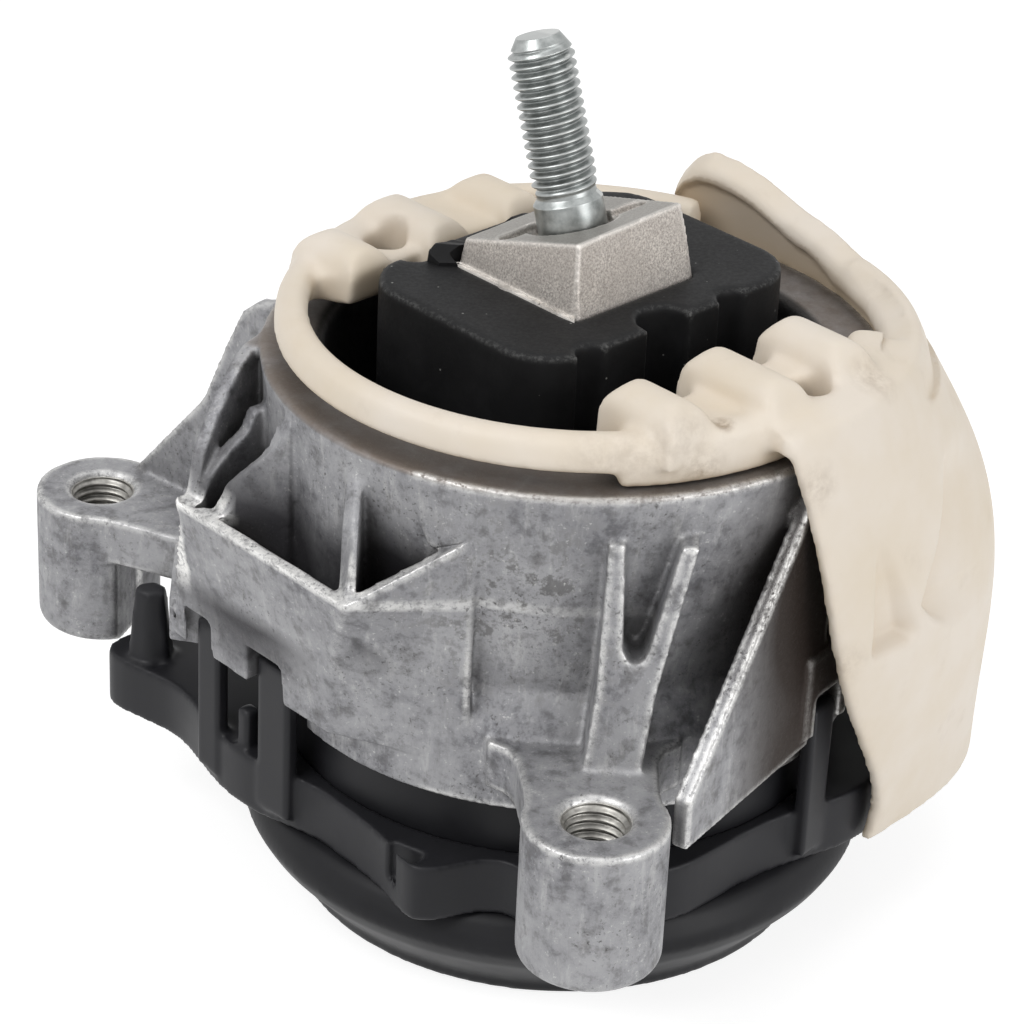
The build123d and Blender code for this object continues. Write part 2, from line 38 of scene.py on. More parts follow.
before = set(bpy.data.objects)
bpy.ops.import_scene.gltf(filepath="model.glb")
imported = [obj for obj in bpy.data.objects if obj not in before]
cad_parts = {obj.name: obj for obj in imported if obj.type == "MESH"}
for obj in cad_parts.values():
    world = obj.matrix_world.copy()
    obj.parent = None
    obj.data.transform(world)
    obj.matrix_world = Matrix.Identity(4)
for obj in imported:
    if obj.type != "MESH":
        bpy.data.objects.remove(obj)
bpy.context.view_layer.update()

MM = 0.001


class CastingSettings(PropertyGroup):
    """Sizes and colours of the die-cast housing"""
    grain: FloatProperty(name="Mesh grain", description="Cell size that the casting's surface is rebuilt at",
                         default=0.42 * MM, unit="LENGTH")
    rounding: IntProperty(name="Edge rounding", description="Passes that round the edges", default=6)
    most_faces: IntProperty(name="Most triangles", description="Triangles kept after rebuilding",
                            default=190000)
    light: StringProperty(name="Light skin", description="sRGB colour of the clean cast skin",
                          default="#A6A6A8")
    dull: StringProperty(name="Dull skin", description="sRGB colour of the oxidised skin", default="#77777B")
    # This colour serves both rubbed edges and the painted highlight on the tops of the pockets' rims.
    worn_and_highlit: StringProperty(name="Worn edge", description="sRGB colour of rubbed edges", default="#EFEEEB")
    # This colour serves both dirt in pores and the painted shade in corners and hollows.
    stain_and_shade: StringProperty(name="Stain", description="sRGB colour of dirt in pores and corners",
                          default="#4C4A48")
    machined: StringProperty(name="Flange top", description="sRGB colour of the machined flange",
                             default="#736961")
    # This colour paints the inside of the bore near black.
    dark_tone: StringProperty(name="Bore", description="sRGB colour of the blackened bore", default="#1E1C1B")


class ShieldSettings(PropertyGroup):
    """Sizes and colours of the moulded heat shield"""
    grain: FloatProperty(name="Mesh grain", description="Cell size of the rebuilt surface", default=0.6 * MM,
                         unit="LENGTH")
    rounding: IntProperty(name="Edge rounding", description="Passes that round the edges", default=22)
    most_faces: IntProperty(name="Most triangles", description="Triangles kept after rebuilding",
                            default=150000)
    cream: StringProperty(name="Cream", description="sRGB colour of the plastic", default="#E6DCCF")
    # Beside heat-yellowed patches, this colour is the painted shade in the shield's creases.
    aged_and_shade: StringProperty(name="Aged cream", description="sRGB colour where heat has yellowed it",
                         default="#DDCFB9")
    # This colour serves both the stains and the painted shade on the hood's inner face.
    dark_tone: StringProperty(name="Soot", description="sRGB colour of stains", default="#8F7A62")


class RubberSettings(PropertyGroup):
    """Sizes and colours of the rubber spring"""
    grain: FloatProperty(name="Mesh grain", description="Cell size of the rebuilt surface", default=0.6 * MM,
                         unit="LENGTH")
    rounding: IntProperty(name="Edge rounding", description="Passes that round the edges", default=6)
    most_faces: IntProperty(name="Most triangles", description="Triangles kept after rebuilding",
                            default=90000)
    black: StringProperty(name="Rubber", description="sRGB colour of the rubber", default="#161617")
    dust: StringProperty(name="Dust", description="sRGB colour of dust on it", default="#3A3A3B")


class PlasticSettings(PropertyGroup):
    """Sizes and colours of the black clip ring and cup"""
    grain: FloatProperty(name="Mesh grain", description="Cell size of the rebuilt surface", default=0.55 * MM,
                         unit="LENGTH")
    rounding: IntProperty(name="Edge rounding", description="Passes that round the edges", default=4)
    most_faces: IntProperty(name="Most triangles", description="Triangles kept after rebuilding",
                            default=110000)
    ring: StringProperty(name="Clip ring", description="sRGB colour of the clip ring", default="#232326")
    cup: StringProperty(name="Cup", description="sRGB colour of the cup", default="#17171A")


class StudSettings(PropertyGroup):
    """Sizes of the stud and its thread"""
    pitch: FloatProperty(name="Pitch", description="Distance from crest to crest",
                         default=1.5 * MM, unit="LENGTH")
    depth: FloatProperty(name="Thread depth", description="Crest to root", default=0.9 * MM, unit="LENGTH")
    collar: FloatProperty(name="Collar", description="Height of the plain collar over the core's face",
                          default=4.4 * MM, unit="LENGTH")
    radius: FloatProperty(name="Radius", description="Radius over the crests",
                          default=5.0 * MM, unit="LENGTH")
    length: FloatProperty(name="Length", description="From the core's face to the end", default=28.8 * MM,
                          unit="LENGTH")
    zinc: StringProperty(name="Zinc", description="sRGB colour of the plating", default="#AEB1B0")


class StageSettings(PropertyGroup):
    """Camera and lamps"""
    key: FloatProperty(name="Key lamp", description="Power of the large lamp at the left",
                       default=3.0, unit="POWER")
    fill: FloatProperty(name="Fill lamp", description="Power of the lamp at the right",
                        default=2.3, unit="POWER")
    top: FloatProperty(name="Top lamp", description="Power of the lamp overhead", default=0.9, unit="POWER")
    sky: FloatProperty(name="Room light", description="Strength of the even light of the room", default=0.38)


def linear(colour):
    """Linear colour of an sRGB hex value."""
    parts = [int(colour[i:i + 2], 16) / 255 for i in (1, 3, 5)]
    return tuple(c / 12.92 if c <= 0.04045 else ((c + 0.055) / 1.055) ** 2.4 for c in parts) + (1.0,)


def add(tree, kind, values=None, links=None, **settings):
    """Adds a node with its settings, its input values and its links."""
    made = tree.nodes.new(kind)
    for key, value in settings.items():
        setattr(made, key, value)
    for key, value in (values or {}).items():
        made.inputs[key].default_value = value
    for key, source in (links or {}).items():
        tree.links.new(source, made.inputs[key])
    return made


def ramp(tree, source, stops):
    """Maps a value to greys or colours through a ramp of (place, colour) stops."""
    made = add(tree, "ShaderNodeValToRGB", links={0: source})
    points = made.color_ramp.elements
    while len(points) < len(stops):
        points.new(0.5)
    for point, (place, colour) in zip(points, stops):
        point.position = place
        point.color = colour if isinstance(colour, tuple) else (colour, colour, colour, 1)
    return made.outputs[0]


def mix(tree, share, first, second):
    """Mixes two colours by a share between 0 and 1; each may be a socket or a colour."""
    made = add(tree, "ShaderNodeMix", data_type="RGBA")
    for key, value in ((0, share), (6, first), (7, second)):
        if isinstance(value, bpy.types.NodeSocket):
            tree.links.new(value, made.inputs[key])
        else:
            made.inputs[key].default_value = value
    return made.outputs[2]


def arithmetic(tree, kind, first, second=0.0, clamp=False):
    """Result of a math node; each value may be a socket or a number."""
    made = add(tree, "ShaderNodeMath", operation=kind, use_clamp=clamp)
    for key, value in ((0, first), (1, second)):
        if isinstance(value, bpy.types.NodeSocket):
            tree.links.new(value, made.inputs[key])
        else:
            made.inputs[key].default_value = value
    return made.outputs[0]


def grain(tree, place, size_mm, detail=3.0, rough=0.6):
    """Noise whose cloudy spots are about size_mm across."""
    values = {"Scale": 1 / (size_mm * MM), "Detail": detail, "Roughness": rough}
    return add(tree, "ShaderNodeTexNoise", values, {"Vector": place}).outputs[0]


def near(tree, place, centre_mm, reach_mm):
    """Soft spot: 1 at a place on the mount, fading to 0 at a distance from it."""
    centre = tuple(value * MM for value in centre_mm)
    apart = add(tree, "ShaderNodeVectorMath", {1: centre}, {0: place}, operation="DISTANCE").outputs["Value"]
    return arithmetic(tree, "SUBTRACT", 1.0, arithmetic(tree, "DIVIDE", apart, reach_mm * MM), clamp=True)


def new_material(name):
    """Empty principled material; returns it with its tree, shader and place socket."""
    material = bpy.data.materials.new(name)
    material.use_nodes = True
    tree = material.node_tree
    tree.nodes.clear()
    shader = add(tree, "ShaderNodeBsdfPrincipled")
    add(tree, "ShaderNodeOutputMaterial", links={0: shader.outputs[0]})
    place = add(tree, "ShaderNodeTexCoord").outputs["Object"]
    return material, tree, shader, place


def bump(tree, shader, height, depth_mm, strength):
    """Roughens a material's surface by a height pattern."""
    made = add(tree, "ShaderNodeBump", {"Strength": strength, "Distance": depth_mm * MM}, {"Height": height})
    tree.links.new(made.outputs[0], shader.inputs["Normal"])


def piece(name, mesh, material, slot, *nodes):
    """Makes a piece that rides on the mount and stands for the CAD nodes named."""
    made = bpy.data.objects.new(name, mesh)
    bpy.context.scene.collection.objects.link(made)
    mesh.materials.clear()
    mesh.materials.append(material)
    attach(made, "root")
    if nodes:
        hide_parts(*nodes)


def dress(node, material):
    """Gives a CAD node that keeps its own mesh its finished material."""
    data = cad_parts[node].data
    data.materials.clear()
    data.materials.append(material)


def rebuilt(node, cell, passes, most_faces, reshape=None):
    """Mesh of a CAD node rebuilt from small even cells with rounded edges."""
    source = bmesh.new()
    source.from_mesh(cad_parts[node].data)
    bmesh.ops.remove_doubles(source, verts=source.verts, dist=1e-6)
    mesh = bpy.data.meshes.new(node + "_surface")
    source.to_mesh(mesh)
    source.free()
    worker = bpy.data.objects.new(node + "_worker", mesh)
    bpy.context.scene.collection.objects.link(worker)
    cells = worker.modifiers.new("Cells", "REMESH")
    cells.mode, cells.voxel_size, cells.use_smooth_shade = "VOXEL", cell, True
    smooth = worker.modifiers.new("Rounding", "SMOOTH")
    smooth.factor, smooth.iterations = 0.5, passes
    graph = bpy.context.evaluated_depsgraph_get()
    fine = bpy.data.meshes.new_from_object(worker.evaluated_get(graph))
    if reshape:
        points = np.empty(len(fine.vertices) * 3, np.float32)
        fine.vertices.foreach_get("co", points)
        points = points.reshape(-1, 3)
        fine.vertices.foreach_set("co", reshape(points).astype(np.float32).ravel())
        fine.update()
    worker.modifiers.clear()
    worker.data = fine
    triangles = sum(len(p.vertices) - 2 for p in fine.polygons)
    if triangles > most_faces:
        thin = worker.modifiers.new("Thinning", "DECIMATE")
        thin.ratio = most_faces / triangles
    graph = bpy.context.evaluated_depsgraph_get()
    final = bpy.data.meshes.new_from_object(worker.evaluated_get(graph))
    bpy.data.objects.remove(worker)
    final.polygons.foreach_set("use_smooth", [True] * len(final.polygons))
    print(node, "cells", triangles, "kept", len(final.polygons))
    return final


# Painted shade on the casting: place and reach in mm, strength, sRGB colour, and whether it stays inside the
# walls of the pockets. The pockets are painted grey as the shade deep in them, and the wall behind the shield
# is painted dark brown as the shadow under the shield's apron, warmed by the light that the shield reflects.
PAINTED_SHADE = (((-47.0, -22.0, 62.0), 21.0, 2.0, "#3E3D40", True),
         ((-25.0, -35.0, 67.0), 14.0, 2.0, "#38373A", True),
         ((52.0, -36.0, 66.0), 36.0, 2.6, "#241A14", False),
         ((46.0, -40.0, 40.0), 26.0, 2.2, "#2A201A", False))
# Middle of the patch of flaked skin on the drum and how far it reaches, in mm
FLAKED = ((-7.0, -47.0, 70.0), 24.0)
# Middles of the pocket box and of its rims, each with a distance that holds all of it, in mm
POCKET_BOX = ((-40.0, -30.0, 60.0), 60.0)
POCKET_RIMS = ((-40.0, -28.0, 69.0), 60.0)
# Outer walls of the pockets at their rims: direction they face and distance from the axis in mm
POCKET_WALLS = (((-0.724, -0.690, 0.0), 54.8), ((0.123, -0.9925, 0.0), 42.07))
# Height of the pockets' rim at the front wall and at the right end of the right wall, in mm
RIM_FRONT, RIM_RIGHT = 69.5, 80.5


def cast_aluminium(settings):
    """Die-cast aluminium, aged in use.

    The dull oxide skin scatters light, so it is only part metallic. Dark pores and stains break it up, and
    corners where tools and brackets rub show bright bare metal. Painted shade darkens the pockets, the
    hollows and the wall under the shield, and a painted highlight lightens the tops of the pockets' rims.
    """
    material, tree, shader, place = new_material("Die-cast aluminium")
    clouds = grain(tree, place, 16, 4)
    mottle = grain(tree, place, 3.4, 6, 0.7)
    skin = grain(tree, place, 0.8, 4, 0.75)
    patches = grain(tree, place, 11, 5, 0.65)
    cloudy = ramp(tree, clouds, [(0.36, 0), (0.66, 1)])
    tone = mix(tree, cloudy, linear(settings.dull), linear(settings.light))
    tone = mix(tree, ramp(tree, mottle, [(0.42, 0.0), (0.64, 0.8)]), tone, linear(settings.light))
    tone = mix(tree, ramp(tree, mottle, [(0.30, 0.6), (0.47, 0.0)]), tone, linear(settings.stain_and_shade))
    # Smears run down the walls, some five times as long as wide.
    drawn = add(tree, "ShaderNodeVectorMath", {1: (1.0, 1.0, 0.22)}, {0: place},
                operation="MULTIPLY").outputs[0]
    smears = grain(tree, drawn, 2.0, 5, 0.7)
    tone = mix(tree, ramp(tree, smears, [(0.54, 0.0), (0.72, 0.22)]), tone, linear(settings.worn_and_highlit))
    tone = mix(tree, ramp(tree, smears, [(0.28, 0.25), (0.42, 0.0)]), tone, linear(settings.stain_and_shade))
    pores = arithmetic(tree, "MULTIPLY", ramp(tree, skin, [(0.33, 0.85), (0.42, 0.0)]),
                       ramp(tree, patches, [(0.44, 0.10), (0.60, 1.0)]))
    flaked = arithmetic(tree, "MULTIPLY", near(tree, place, *FLAKED),
                        ramp(tree, mottle, [(0.52, 0.0), (0.60, 0.9)]), clamp=True)
    tone = mix(tree, arithmetic(tree, "MAXIMUM", pores, flaked), tone, linear(settings.stain_and_shade))
    flecks = arithmetic(tree, "MULTIPLY", ramp(tree, skin, [(0.60, 0.0), (0.70, 0.6)]),
                        ramp(tree, mottle, [(0.44, 0.0), (0.58, 1.0)]))
    tone = mix(tree, flecks, tone, linear(settings.worn_and_highlit))
    # The ramps take heights in tenths of a metre and depths behind the pockets' walls in centimetres.
    split = add(tree, "ShaderNodeSeparateXYZ", links={0: place}).outputs
    height = arithmetic(tree, "MULTIPLY", split[2], 10.0)
    depths = []
    for direction, distance in POCKET_WALLS:
        reached = add(tree, "ShaderNodeVectorMath", {1: direction}, {0: place},
                      operation="DOT_PRODUCT").outputs["Value"]
        depths.append(arithmetic(tree, "SUBTRACT", distance * MM, reached))
    depth = arithmetic(tree, "MINIMUM", *depths)
    walled_in = ramp(tree, arithmetic(tree, "MULTIPLY", depth, 100.0), [(0.30, 0.0), (0.42, 1.0)])
    walled_in = arithmetic(tree, "MULTIPLY", walled_in, near(tree, place, *POCKET_BOX))
    walled_in = arithmetic(tree, "MULTIPLY", walled_in, 2.5, clamp=True)
    # Painted shade: grey in the pockets, dark brown under the shield's apron.
    for centre, reach, share, colour, walled in PAINTED_SHADE:
        spot = arithmetic(tree, "MULTIPLY", near(tree, place, centre, reach), share, clamp=True)
        if walled:
            spot = arithmetic(tree, "MULTIPLY", spot, walled_in)
        tone = mix(tree, spot, tone, linear(colour))
    flange = arithmetic(tree, "MULTIPLY", ramp(tree, height, [(0.887, 0.0), (0.892, 1.0)]),
                        ramp(tree, patches, [(0.36, 0.55), (0.56, 0.95)]))
    tone = mix(tree, flange, tone, linear(settings.machined))
    # The corners are found by how much metal lies within reach under the surface.
    buried = add(tree, "ShaderNodeAmbientOcclusion", {"Distance": 1.3 * MM}, inside=True,
                 samples=5).outputs["AO"]
    # Painted shade: the surface is darkened where nearby surfaces close it in.
    hollow = add(tree, "ShaderNodeAmbientOcclusion", {"Distance": 5.0 * MM}, samples=4).outputs["AO"]
    tone = mix(tree, ramp(tree, hollow, [(0.35, 0.55), (0.80, 0.0)]), tone, linear(settings.stain_and_shade))
    corners = arithmetic(tree, "MULTIPLY", ramp(tree, buried, [(0.70, 1.0), (0.90, 0.0)]),
                         arithmetic(tree, "SUBTRACT", 1.0, walled_in))
    # The rims of the pockets are painted light over their whole width: a painted highlight on their tops.
    level = ramp(tree, height, [(0.684, 0.0), (0.690, 1.0), (0.701, 1.0), (0.708, 0.0)])
    width = ramp(tree, arithmetic(tree, "MULTIPLY", depth, 100.0), [(0.0, 0.9), (0.27, 0.8), (0.40, 0.0)])
    rims = arithmetic(tree, "MULTIPLY", level, width)
    rims = arithmetic(tree, "MULTIPLY", rims, near(tree, place, *POCKET_RIMS))
    corners = arithmetic(tree, "MAXIMUM", corners, rims)
    rubbed_and_highlit = arithmetic(tree, "MULTIPLY", corners, ramp(tree, mottle, [(0.34, 0.3), (0.50, 1.0)]))
    rubbed_and_highlit = arithmetic(tree, "MULTIPLY", rubbed_and_highlit, ramp(tree, skin, [(0.36, 0.25), (0.50, 1.0)]))
    tone = mix(tree, rubbed_and_highlit, tone, linear(settings.worn_and_highlit))
    # The inside of the bore is painted near black.
    flat = add(tree, "ShaderNodeCombineXYZ", links={0: split[0], 1: split[1]}).outputs[0]
    out = add(tree, "ShaderNodeVectorMath", links={0: flat}, operation="LENGTH").outputs["Value"]
    bore = ramp(tree, arithmetic(tree, "MULTIPLY", out, 10.0), [(0.392, 1.0), (0.400, 0.0)])
    tone = mix(tree, arithmetic(tree, "MULTIPLY", bore, 0.92), tone, linear(settings.dark_tone))
    tree.links.new(tone, shader.inputs["Base Color"])
    bare = arithmetic(tree, "ADD", 0.55, arithmetic(tree, "MULTIPLY", rubbed_and_highlit, 0.45))
    tree.links.new(bare, shader.inputs["Metallic"])
    gloss = arithmetic(tree, "SUBTRACT", ramp(tree, skin, [(0.3, 0.50), (0.7, 0.62)]),
                       arithmetic(tree, "MULTIPLY", rubbed_and_highlit, 0.22))
    tree.links.new(gloss, shader.inputs["Roughness"])
    pitted = arithmetic(tree, "MULTIPLY", pores, 0.5)
    bump(tree, shader, arithmetic(tree, "SUBTRACT", mix(tree, 0.5, mottle, skin), pitted), 0.22, 0.6)
    return material


def core_aluminium():
    """Die-cast aluminium core, blasted.

    Blasting leaves a warm matt grain that sparkles. The faces that look upward are painted darker, and the
    rims are painted bright, as rubbing and as a painted highlight along the rounded corners.
    """
    material, tree, shader, place = new_material("Blasted aluminium")
    # The blasted grain is about 0.1 mm and is drawn at three times that, so that it shows.
    sparkle = grain(tree, place, 0.34, 2, 0.8)
    clouds = grain(tree, place, 6, 4)
    tone = mix(tree, ramp(tree, sparkle, [(0.36, 0), (0.66, 1)]), linear("#9A948F"), linear("#DAD4CD"))
    tone = mix(tree, ramp(tree, clouds, [(0.38, 0.0), (0.68, 0.5)]), tone, linear("#ABA49E"))
    # The faces that look upward are painted darker.
    normal = add(tree, "ShaderNodeTexCoord").outputs["Normal"]
    upward = add(tree, "ShaderNodeSeparateXYZ", links={0: normal}).outputs[2]
    tone = mix(tree, ramp(tree, upward, [(0.70, 0.0), (0.86, 0.7)]), tone, linear("#8A8985"))
    # Painted highlight along the rims, together with rubbing.
    buried = add(tree, "ShaderNodeAmbientOcclusion", {"Distance": 0.8 * MM}, inside=True,
                 samples=4).outputs["AO"]
    rubbed_and_highlit = arithmetic(tree, "MULTIPLY", ramp(tree, buried, [(0.70, 0.9), (0.90, 0.0)]),
                        ramp(tree, clouds, [(0.35, 0.4), (0.55, 1.0)]))
    tone = mix(tree, rubbed_and_highlit, tone, linear("#E2DED9"))
    tree.links.new(tone, shader.inputs["Base Color"])
    shader.inputs["Metallic"].default_value = 0.8
    shader.inputs["Roughness"].default_value = 0.52
    bump(tree, shader, sparkle, 0.05, 0.5)
    return material


def cut_aluminium():
    """Tapped aluminium: bright metal left by the tap, dull with dust."""
    if "Tapped aluminium" in bpy.data.materials:
        return bpy.data.materials["Tapped aluminium"]
    material, tree, shader, place = new_material("Tapped aluminium")
    film = grain(tree, place, 1.4, 4)
    tree.links.new(mix(tree, ramp(tree, film, [(0.35, 0), (0.65, 1)]), linear("#85837F"), linear("#ACAAA5")),
                   shader.inputs["Base Color"])
    shader.inputs["Metallic"].default_value = 0.9
    shader.inputs["Roughness"].default_value = 0.38
    bump(tree, shader, film, 0.03, 0.4)
    return material


def zinc_steel(settings):
    """Zinc-plated steel stud: rolled thread, dull grey-green sheen."""
    material, tree, shader, place = new_material("Zinc-plated steel")
    film = grain(tree, place, 1.6, 4, 0.65)
    edges = add(tree, "ShaderNodeNewGeometry").outputs["Pointiness"]
    tone = mix(tree, ramp(tree, film, [(0.3, 0), (0.7, 1)]), linear("#8B8F8E"), linear(settings.zinc))
    # Painted shade darkens the thread's roots, and a painted highlight lightens its crests.
    tone = mix(tree, ramp(tree, edges, [(0.42, 0.7), (0.49, 0.0)]), tone, linear("#4C4F4E"))
    tone = mix(tree, ramp(tree, edges, [(0.52, 0.0), (0.58, 0.8)]), tone, linear("#C9CBC9"))
    tree.links.new(tone, shader.inputs["Base Color"])
    shader.inputs["Metallic"].default_value = 1.0
    tree.links.new(ramp(tree, film, [(0.3, 0.28), (0.7, 0.42)]), shader.inputs["Roughness"])
    bump(tree, shader, film, 0.03, 0.4)
    return material


def plain_steel(name, colour, roughness):
    """Pressed steel inside the mount, with drawing marks."""
    material, tree, shader, place = new_material(name)
    marks = grain(tree, place, 0.8, 3)
    tree.links.new(mix(tree, ramp(tree, marks, [(0.3, 0.0), (0.7, 0.5)]), linear(colour), linear("#8E8B88")),
                   shader.inputs["Base Color"])
    shader.inputs["Metallic"].default_value = 1.0
    shader.inputs["Roughness"].default_value = roughness
    bump(tree, shader, marks, 0.02, 0.4)
    return material


def natural_rubber(name, settings, roughness=0.52):
    """Moulded natural rubber: deep black, faint bloom and dust."""
    material, tree, shader, place = new_material(name)
    bloom = grain(tree, place, 9, 4)
    fine = grain(tree, place, 0.7, 4, 0.7)
    specks = add(tree, "ShaderNodeTexVoronoi", {"Scale": 1 / (3.4 * MM)}, {"Vector": place}).outputs[0]
    dusty = ramp(tree, bloom, [(0.42, 0.0), (0.72, 0.18)])
    tone = mix(tree, dusty, linear(settings.black), linear(settings.dust))
    edges = add(tree, "ShaderNodeNewGeometry").outputs["Pointiness"]
    scuffed = arithmetic(tree, "MULTIPLY", ramp(tree, edges, [(0.52, 0.0), (0.57, 0.9)]),
                         ramp(tree, fine, [(0.45, 0.1), (0.62, 1.0)]))
    tone = mix(tree, scuffed, tone, linear("#6C6C6B"))
    tone = mix(tree, ramp(tree, specks, [(0.035, 0.8), (0.06, 0.0)]), tone, linear("#8B8B88"))
    tree.links.new(tone, shader.inputs["Base Color"])
    uneven = ramp(tree, fine, [(0.3, roughness - 0.07), (0.7, roughness + 0.1)])
    tree.links.new(uneven, shader.inputs["Roughness"])
    shader.inputs["IOR"].default_value = 1.52
    # The skin is porous and dusty, which takes more than half of its gloss.
    shader.inputs["Specular IOR Level"].default_value = 0.14
    bump(tree, shader, fine, 0.05, 0.35)
    return material


def black_nylon(name, colour, roughness):
    """Moulded glass-filled nylon: satin black, faint flow marks, paler edges."""
    material, tree, shader, place = new_material(name)
    flow = grain(tree, place, 16, 3)
    fine = grain(tree, place, 0.5, 3, 0.7)
    edges = add(tree, "ShaderNodeNewGeometry").outputs["Pointiness"]
    tone = mix(tree, ramp(tree, flow, [(0.4, 0.0), (0.7, 0.25)]), linear(colour), linear("#303033"))
    tone = mix(tree, ramp(tree, edges, [(0.53, 0.0), (0.62, 0.5)]), tone, linear("#505053"))
    tree.links.new(tone, shader.inputs["Base Color"])
    uneven = ramp(tree, flow, [(0.3, roughness - 0.06), (0.7, roughness + 0.08)])
    tree.links.new(uneven, shader.inputs["Roughness"])
    shader.inputs["IOR"].default_value = 1.53
    # Glass fibres break up the skin and take more than half of its gloss.
    shader.inputs["Specular IOR Level"].default_value = 0.2
    bump(tree, shader, fine, 0.03, 0.35)
    return material


# Middle of the hood and how far it reaches, in mm
HOOD = ((24.0, 44.0, 97.0), 34.0)
# Brown smudges on the shield: place and reach in mm, and strength
SMUDGES = (((4.0, -45.2, 94.0), 7.0, 0.3), ((18.0, -41.8, 91.5), 5.0, 0.7), ((16.0, -42.0, 98.0), 5.0, 0.3),
           ((43.0, -20.0, 96.5), 5.0, 0.5), ((11.0, -44.0, 95.0), 6.0, 0.3), ((34.5, -38.0, 88.0), 5.0, 0.4),
           ((20.4, -37.3, 97.4), 2.4, 1.6), ((41.5, -35.6, 57.0), 5.0, 0.3))


def cream_plastic(settings):
    """Moulded heat-resistant plastic, cream, yellowed and smudged in use, with painted shade in its hollows
    and creases and on the hood's inner face.
    """
    material, tree, shader, place = new_material("Cream plastic")
    clouds = grain(tree, place, 24, 4)
    smudge = grain(tree, place, 7, 5, 0.65)
    fine = grain(tree, place, 0.9, 3)
    scuff = grain(tree, place, 2.2, 5, 0.7)
    cloudy = ramp(tree, clouds, [(0.36, 0.0), (0.7, 0.8)])
    tone = mix(tree, cloudy, linear(settings.cream), linear(settings.aged_and_shade))
    tone = mix(tree, ramp(tree, smudge, [(0.60, 0.0), (0.80, 0.12)]), tone, linear(settings.dark_tone))
    for centre, reach, share in SMUDGES:
        spot = arithmetic(tree, "MULTIPLY", near(tree, place, centre, reach),
                          ramp(tree, scuff, [(0.36, 0.0), (0.66, share)]))
        tone = mix(tree, spot, tone, linear(settings.dark_tone))
    # The wall of the hood is painted brown on the side that faces the axis: painted shade on its inner face.
    normal = add(tree, "ShaderNodeTexCoord").outputs["Normal"]
    inward = add(tree, "ShaderNodeVectorMath", links={0: normal, 1: place},
                 operation="DOT_PRODUCT").outputs["Value"]
    painted_hood_shade = arithmetic(tree, "MULTIPLY", near(tree, place, *HOOD), 3.0, clamp=True)
    facing = ramp(tree, arithmetic(tree, "MULTIPLY", inward, -20.0), [(0.1, 0.0), (0.7, 0.42)])
    painted_hood_shade = arithmetic(tree, "MULTIPLY", painted_hood_shade, facing)
    tone = mix(tree, painted_hood_shade, tone, linear(settings.dark_tone))
    # The hollows are painted a deeper cream, as dust and as painted shade.
    hollow = add(tree, "ShaderNodeAmbientOcclusion", {"Distance": 6.0 * MM}, samples=4).outputs["AO"]
    tone = mix(tree, ramp(tree, hollow, [(0.45, 0.6), (0.88, 0.0)]), tone, linear("#C2AC8B"))
    # Painted shade: creases and concave corners take the aged cream.
    edges = add(tree, "ShaderNodeNewGeometry").outputs["Pointiness"]
    tone = mix(tree, ramp(tree, edges, [(0.40, 0.5), (0.48, 0.0)]), tone, linear(settings.aged_and_shade))
    tree.links.new(tone, shader.inputs["Base Color"])
    tree.links.new(ramp(tree, smudge, [(0.3, 0.42), (0.7, 0.58)]), shader.inputs["Roughness"])
    bump(tree, shader, mix(tree, 0.3, smudge, fine), 0.12, 0.35)
    return material


def step(value, low, high):
    """Smooth step from 0 at low to 1 at high, for arrays."""
    share = np.clip((value - low) / (high - low), 0, 1)
    return share * share * (3 - 2 * share)


def housing_relief(points):
    """Levels the rims of the pockets' thin walls, which the sloping mouth of the box cuts to a knife edge."""
    places = points / MM
    x, y, z = places.T
    front, right = [distance - places @ np.array(direction) for direction, distance in POCKET_WALLS]
    # The front wall's rim, then the right wall's and the left wall's
    span = step(x, -59.5, -57.5) * (1 - step(x, -32.5, -30.5))
    front_share = span * step(front, -1.5, -0.5) * (1 - step(front, 2.6, 4.6)) * step(z, 69.4, 69.8)
    z = z - 0.88 * front_share * (z - RIM_FRONT)
    edge = np.interp(x, (-31.6, -13.0), (RIM_FRONT, RIM_RIGHT))
    right_share = step(x, -32.5, -30.5) * (1 - step(x, -16, -13)) * step(right, -1.5, -0.5) \
        * (1 - step(right, 2.4, 4.2)) * step(z, edge, edge + 0.4) * (1 - step(z, 82, 86))
    z = z - 0.8 * right_share * (z - edge)
    across = 1.7 + 0.228 * (x + 57.8) + 0.974 * (y + 18.8)
    level = RIM_FRONT + 1.9 * front - 1.6 * across
    left_share = step(x, -56.5, -53.5) * (1 - step(x, -42.5, -41)) * step(across, -0.6, 0.2) \
        * (1 - step(across, 2.4, 3.0)) * (1 - step(z, 83, 87))
    z = z - 0.85 * left_share * np.clip(z - level, 0, 5)
    return np.stack([x, y, z], 1) * MM


# Axes of the lugs' threaded holes, in mm
LUGS = (("front", 5.5, -64.5), ("left", -75.0, 25.0), ("rear", 52.0, 50.0))


class MOUNT_OT_housing(Operator):
    """Builds the die-cast housing with rounded, worn edges"""
    bl_idname = "mount.housing"
    bl_label = "Housing"

    def execute(self, context):
        s = context.scene.mount_casting
        mesh = rebuilt("housing", s.grain, s.rounding, s.most_faces, housing_relief)
        metal = cast_aluminium(s)
        piece("housing_casting", mesh, metal, "cast_aluminium", "housing")
        pitch, depth, hole, wall, runout = 1.5 * MM, 0.72 * MM, 4.95 * MM, 5.3 * MM, 1.0 * MM
        low, high = 25.6 * MM, 47.1 * MM

        def radius_at(z, turn):
            fade = limited((high - z) / runout) * limited((z - low) / runout)
            return hole - depth * fade * (1 - thread_form(z, turn, pitch))

        for name, x, y in LUGS:
            thread = tube_mesh(name + "_thread", radius_at, low, high, 0.12 * MM, 64, wall)
            thread.transform(Matrix.Translation(Vector((x, y, 0)) * MM))
            piece(name + "_lug_thread", thread, cut_aluminium(), "cast_aluminium")
        return {"FINISHED"}


